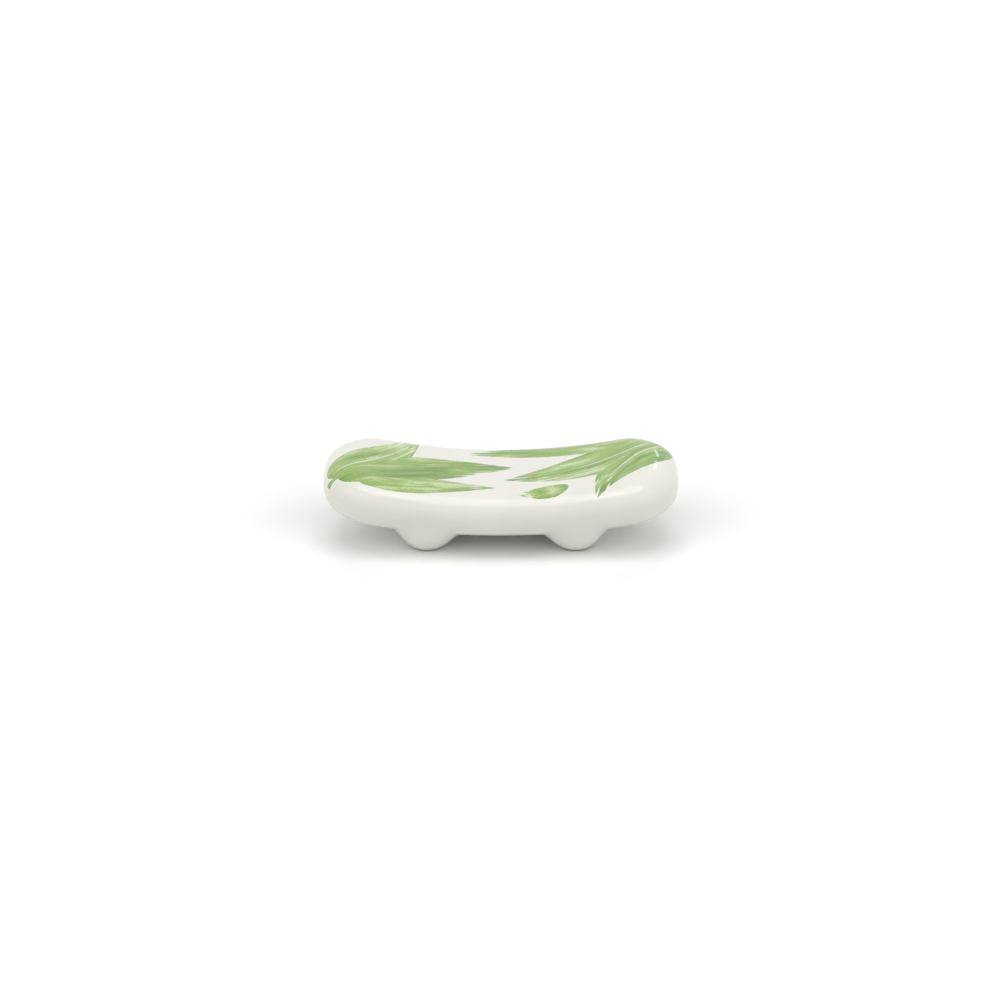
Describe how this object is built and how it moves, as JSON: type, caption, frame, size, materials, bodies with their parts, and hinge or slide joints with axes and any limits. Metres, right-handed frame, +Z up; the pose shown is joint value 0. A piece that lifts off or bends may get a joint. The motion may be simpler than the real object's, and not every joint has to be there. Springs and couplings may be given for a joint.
{
  "type": "chopstick rest",
  "caption": "Glazed ceramic chopstick rest: a thick pillow-edged slab, turned up at both ends, on small flared feet, with green brushed leaves on white glaze.",
  "frame": {"origin": "on the table, midway between the four feet", "axes": "+X along the rest's length, +Z up, front towards -Y"},
  "size_m": [0.0716, 0.0296, 0.0165],
  "materials": {
    "bare_clay": "fired, unglazed",
    "luting_slip": "fired, unglazed",
    "white_glaze": "gloss"
  },
  "bodies": {
    "root": {"slab": "bare_clay", "foot_front_left": "bare_clay", "foot_front_right": "bare_clay", "foot_rear_left": "bare_clay", "foot_rear_right": "bare_clay", "slip_joint_front_left": "luting_slip", "slip_joint_front_right": "luting_slip", "slip_joint_rear_left": "luting_slip", "slip_joint_rear_right": "luting_slip", "glaze_coat": "white_glaze"}
  },
  "joints": []
}
